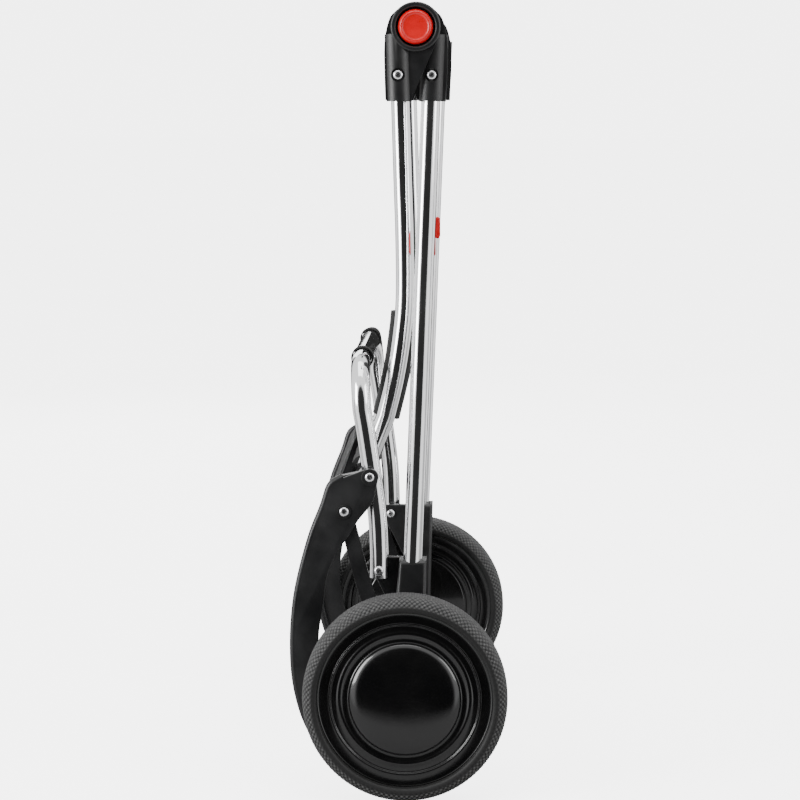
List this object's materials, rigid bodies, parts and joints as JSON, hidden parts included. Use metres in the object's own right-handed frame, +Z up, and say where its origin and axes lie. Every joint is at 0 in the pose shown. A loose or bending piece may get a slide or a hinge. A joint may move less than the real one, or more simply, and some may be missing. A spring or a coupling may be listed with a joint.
{
  "type": "folding platform cart",
  "caption": "Folding two-wheeled hand cart, shown folded: aluminium tube frame, hinged handle loop, fold-down platform with front arms and large wheels.",
  "frame": {"origin": "floor level below the middle of the folded cart's box", "axes": "+X to the cart's left side, -Y to the front, +Z up"},
  "size_m": [0.4256, 0.2149, 0.777],
  "materials": {
    "polished_aluminium": "polished",
    "bright_steel": "bright zinc",
    "rubber": "matt, fine tread",
    "grip_foam": "matt foam",
    "red_plastic": "satin red",
    "gloss_black": "glossy",
    "black_plastic": "satin, fine grain"
  },
  "bodies": {
    "frame": {"left_upright": "polished_aluminium", "left_upright_socket": "black_plastic", "left_axle_bracket": "black_plastic", "left_axle_collar": "bright_steel", "left_axle_nut": "bright_steel", "left_socket_screw": "bright_steel", "left_platform_pivot_screw": "bright_steel", "left_strap_clip": "red_plastic", "right_upright": "polished_aluminium", "right_upright_socket": "black_plastic", "right_axle_bracket": "black_plastic", "right_axle_collar": "bright_steel", "right_axle_nut": "bright_steel", "right_socket_screw": "bright_steel", "right_platform_pivot_screw": "bright_steel", "right_strap_clip": "red_plastic", "axle": "bright_steel", "axle_tube": "black_plastic"},
    "handle": {"handle_loop": "polished_aluminium", "handle_grip": "grip_foam", "left_handle_socket": "black_plastic", "left_hinge_barrel": "bright_steel", "left_hinge_cover": "black_plastic", "left_leg_cradle": "grip_foam", "left_cover_screw": "bright_steel", "right_handle_socket": "black_plastic", "right_hinge_barrel": "bright_steel", "right_hinge_cover": "black_plastic", "right_leg_cradle": "grip_foam", "right_cover_screw": "bright_steel"},
    "platform": {"platform_loop": "polished_aluminium", "platform_panel": "black_plastic", "left_platform_stop": "grip_foam", "left_arm_screw": "bright_steel", "right_platform_stop": "grip_foam", "right_arm_screw": "bright_steel"},
    "front_arms": {"left_arm": "black_plastic", "left_foot": "rubber", "left_link_screw": "bright_steel", "right_arm": "black_plastic", "right_foot": "rubber", "right_link_screw": "bright_steel"},
    "left_release": {"left_button": "red_plastic", "left_button_spring": "bright_steel"},
    "left_link_bar": {"left_link": "black_plastic"},
    "left_wheel": {"left_wheel_tyre": "rubber", "left_wheel_outer_rim": "gloss_black", "left_wheel_inner_rim": "gloss_black", "left_wheel_hub_cap": "gloss_black", "left_wheel_outer_bearing": "bright_steel", "left_wheel_inner_bearing": "bright_steel"},
    "right_release": {"right_button": "red_plastic", "right_button_spring": "bright_steel"},
    "right_link_bar": {"right_link": "black_plastic"},
    "right_wheel": {"right_wheel_tyre": "rubber", "right_wheel_outer_rim": "gloss_black", "right_wheel_inner_rim": "gloss_black", "right_wheel_hub_cap": "gloss_black", "right_wheel_outer_bearing": "bright_steel", "right_wheel_inner_bearing": "bright_steel"}
  },
  "joints": [
    {"name": "platform_fold", "type": "hinge", "parent": "frame", "child": "platform", "pos_m": [0, -0.0195, 0.2154], "axis": [1, 0, 0], "range_deg": [0, 90]},
    {"name": "arm_fold", "type": "hinge", "parent": "platform", "child": "front_arms", "pos_m": [0, -0.028, 0.3101], "axis": [1, 0, 0], "range_deg": [-123.4, 0]},
    {"name": "handle_fold", "type": "hinge", "parent": "frame", "child": "handle", "pos_m": [0, 0.0169, 0.752], "axis": [1, 0, 0], "range_deg": [0, 176]},
    {"name": "left_link_turn", "type": "hinge", "parent": "frame", "child": "left_link_bar", "pos_m": [0, 0.0075, 0.1], "axis": [1, 0, 0], "range_deg": [0, 41.4]},
    {"name": "left_button_press", "type": "slide", "parent": "handle", "child": "left_release", "axis": [-1, 0, 0], "range_m": [0, 0.0035], "stiffness_N_per_m": 900, "deforming": ["left_button_spring"]},
    {"name": "left_wheel_spin", "type": "hinge", "parent": "frame", "child": "left_wheel", "pos_m": [0, 0.0075, 0.1], "axis": [1, 0, 0], "continuous": true},
    {"name": "right_link_turn", "type": "hinge", "parent": "frame", "child": "right_link_bar", "pos_m": [0, 0.0075, 0.1], "axis": [1, 0, 0], "range_deg": [0, 41.4]},
    {"name": "right_button_press", "type": "slide", "parent": "handle", "child": "right_release", "axis": [1, 0, 0], "range_m": [0, 0.0035], "stiffness_N_per_m": 900, "deforming": ["right_button_spring"]},
    {"name": "right_wheel_spin", "type": "hinge", "parent": "frame", "child": "right_wheel", "pos_m": [0, 0.0075, 0.1], "axis": [1, 0, 0], "continuous": true}
  ],
  "couplings": [
    {"joint": "arm_fold", "follows": "platform_fold", "ratio": -1.371},
    {"joint": "left_link_turn", "follows": "platform_fold", "ratio": 0.459},
    {"joint": "right_link_turn", "follows": "platform_fold", "ratio": 0.459}
  ]
}
